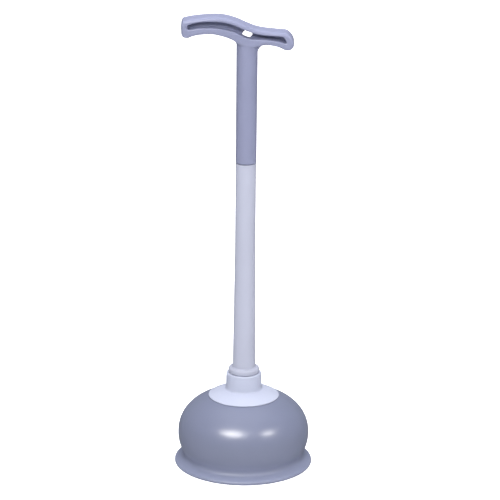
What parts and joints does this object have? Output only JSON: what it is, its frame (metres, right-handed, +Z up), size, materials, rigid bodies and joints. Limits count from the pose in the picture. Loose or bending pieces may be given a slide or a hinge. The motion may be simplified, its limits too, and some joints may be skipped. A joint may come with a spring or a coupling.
{
  "type": "toilet plunger",
  "caption": "Toilet plunger with a flared rubber bell, a flanged collar, a tapered hollow shaft and an asymmetric T-shaped grip with a hanging hole.",
  "frame": {"origin": "centre of the ring under the lip, on the surface that the plunger stands on", "axes": "+Z up along the shaft, +X towards the grip's shorter drooping arm, +Y through the hanging hole towards the back"},
  "size_m": [0.152, 0.152, 0.5073],
  "materials": {
    "bell_rubber": "smooth semi-gloss moulded rubber",
    "gasket_rubber": "smooth",
    "grip_plastic": "fine matte texture",
    "shaft_plastic": "satin",
    "collar_plastic": "satin",
    "plate_plastic": "satin",
    "insert_plastic": "matte",
    "clamp_steel": "zinc plated"
  },
  "bodies": {
    "bell": {"cup": "bell_rubber"},
    "handle": {"backing_plate": "plate_plastic", "flat_washer": "clamp_steel", "spring_washer": "clamp_steel", "clamp_screw": "clamp_steel", "gasket": "gasket_rubber", "collar": "collar_plastic", "shaft_insert": "insert_plastic", "shaft": "shaft_plastic", "grip": "grip_plastic"}
  },
  "joints": [
    {"name": "plunge", "type": "slide", "parent": "bell", "child": "handle", "axis": [0, 0, 1], "range_m": [-0.04, 0], "stiffness_N_per_m": 2200, "springref_m": 0.002, "deforming": ["cup"]}
  ]
}
